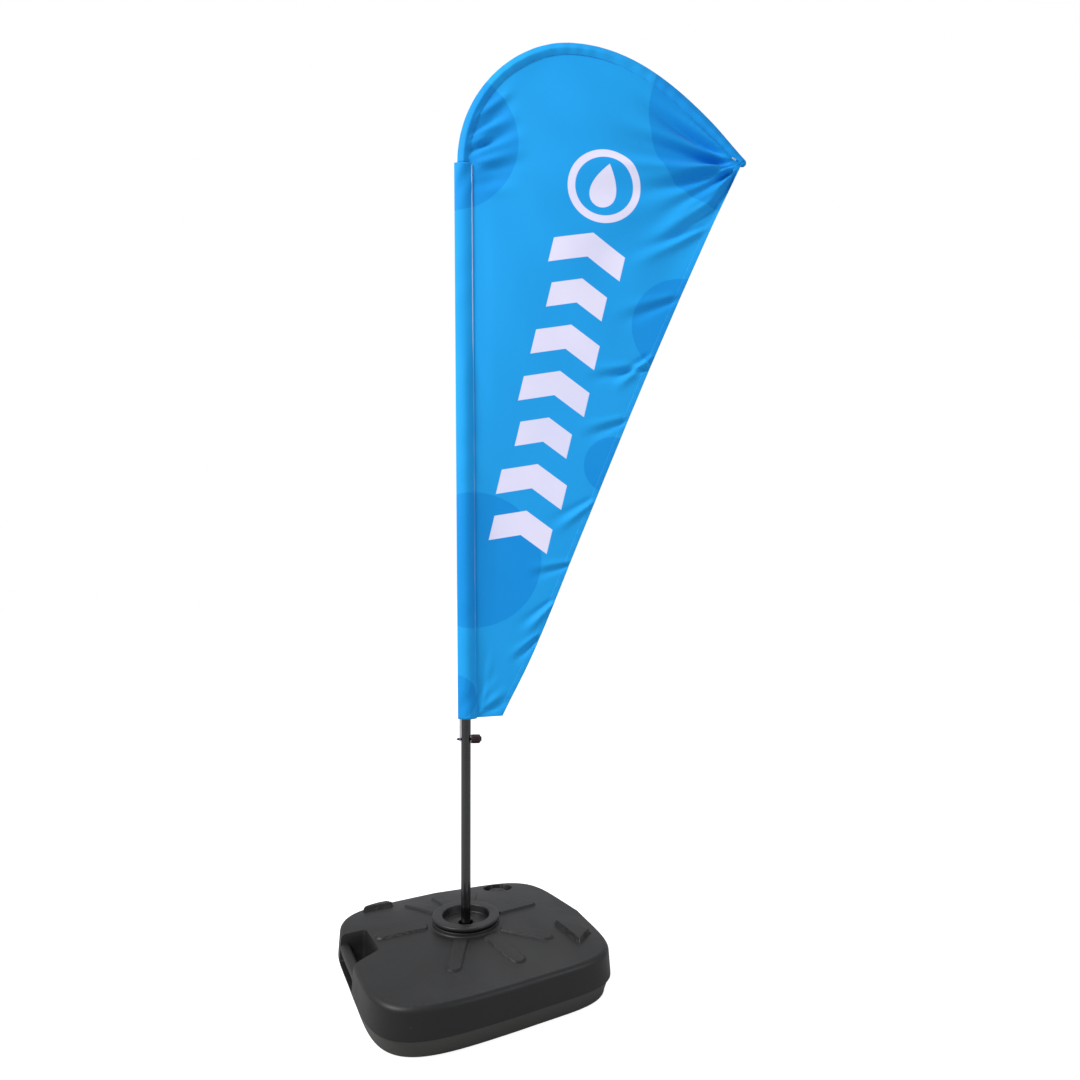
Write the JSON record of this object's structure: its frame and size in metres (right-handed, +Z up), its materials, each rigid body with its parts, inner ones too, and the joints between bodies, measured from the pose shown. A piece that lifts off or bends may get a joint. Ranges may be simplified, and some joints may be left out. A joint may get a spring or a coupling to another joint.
{
  "type": "teardrop flag",
  "caption": "Teardrop advertising flag on a bent pole that turns on a spindle in a water-filled plastic base.",
  "frame": {"origin": "underside of the tank, under the pole's axis", "axes": "+Z up along the pole; -X is the side with the carrying handle; the sail points between +X and -Y at rest"},
  "size_m": [0.8058, 0.4755, 1.9464],
  "materials": {
    "tank_plastic": "satin, fine grain",
    "socket_plastic": "satin",
    "black_plastic": "satin",
    "knob_plastic": "semi-gloss",
    "rubber": "matte",
    "steel": "turned",
    "black_tube": "gloss black anodised",
    "fibreglass": "satin, lengthwise fibre",
    "sail_cloth": "printed knitted polyester",
    "elastic": "braided"
  },
  "bodies": {
    "base": {"base_tank": "tank_plastic", "socket_insert": "socket_plastic", "spindle": "steel", "spindle_washer": "steel", "spindle_nut": "steel", "thrust_washer": "steel", "lower_bearing": "steel", "upper_bearing": "steel", "bearing_spacer": "steel", "retaining_clip": "steel"},
    "rotor": {"rotor_sleeve": "black_plastic"},
    "flag": {"pole_lower": "black_tube", "ferrule_lower": "black_plastic", "pole_middle": "black_tube", "ferrule_upper": "black_plastic", "pole_rod": "fibreglass", "rod_tip": "rubber", "sleeve_straight": "sail_cloth", "sleeve_curved": "sail_cloth", "tip_pocket": "sail_cloth", "sail_panel": "sail_cloth", "foot_hem": "sail_cloth", "leech_hem": "sail_cloth", "elastic_loop": "elastic"},
    "anchor": {"cross_pin": "steel", "tension_knob": "knob_plastic"},
    "gasket": {"fill_gasket": "rubber"},
    "cap": {"fill_cap": "black_plastic"}
  },
  "joints": [
    {"name": "flag_swivel", "type": "hinge", "parent": "base", "child": "rotor", "pos_m": [0, 0, 0.045], "axis": [0, 0, 1], "continuous": true},
    {"name": "pole_lift", "type": "slide", "parent": "rotor", "child": "flag", "axis": [0, 0, 1], "range_m": [0, 0.14]},
    {"name": "anchor_turn", "type": "hinge", "parent": "flag", "child": "anchor", "pos_m": [0, 0, 0.492], "axis": [0.9298, -0.3681, 0], "continuous": true},
    {"name": "cap_lift", "type": "slide", "parent": "base", "child": "gasket", "axis": [0, 0, 1], "range_m": [0, 0.05]},
    {"name": "cap_turn", "type": "hinge", "parent": "gasket", "child": "cap", "pos_m": [0.146, 0.171, 0.09], "axis": [0, 0, 1], "range_deg": [0, 720]}
  ]
}
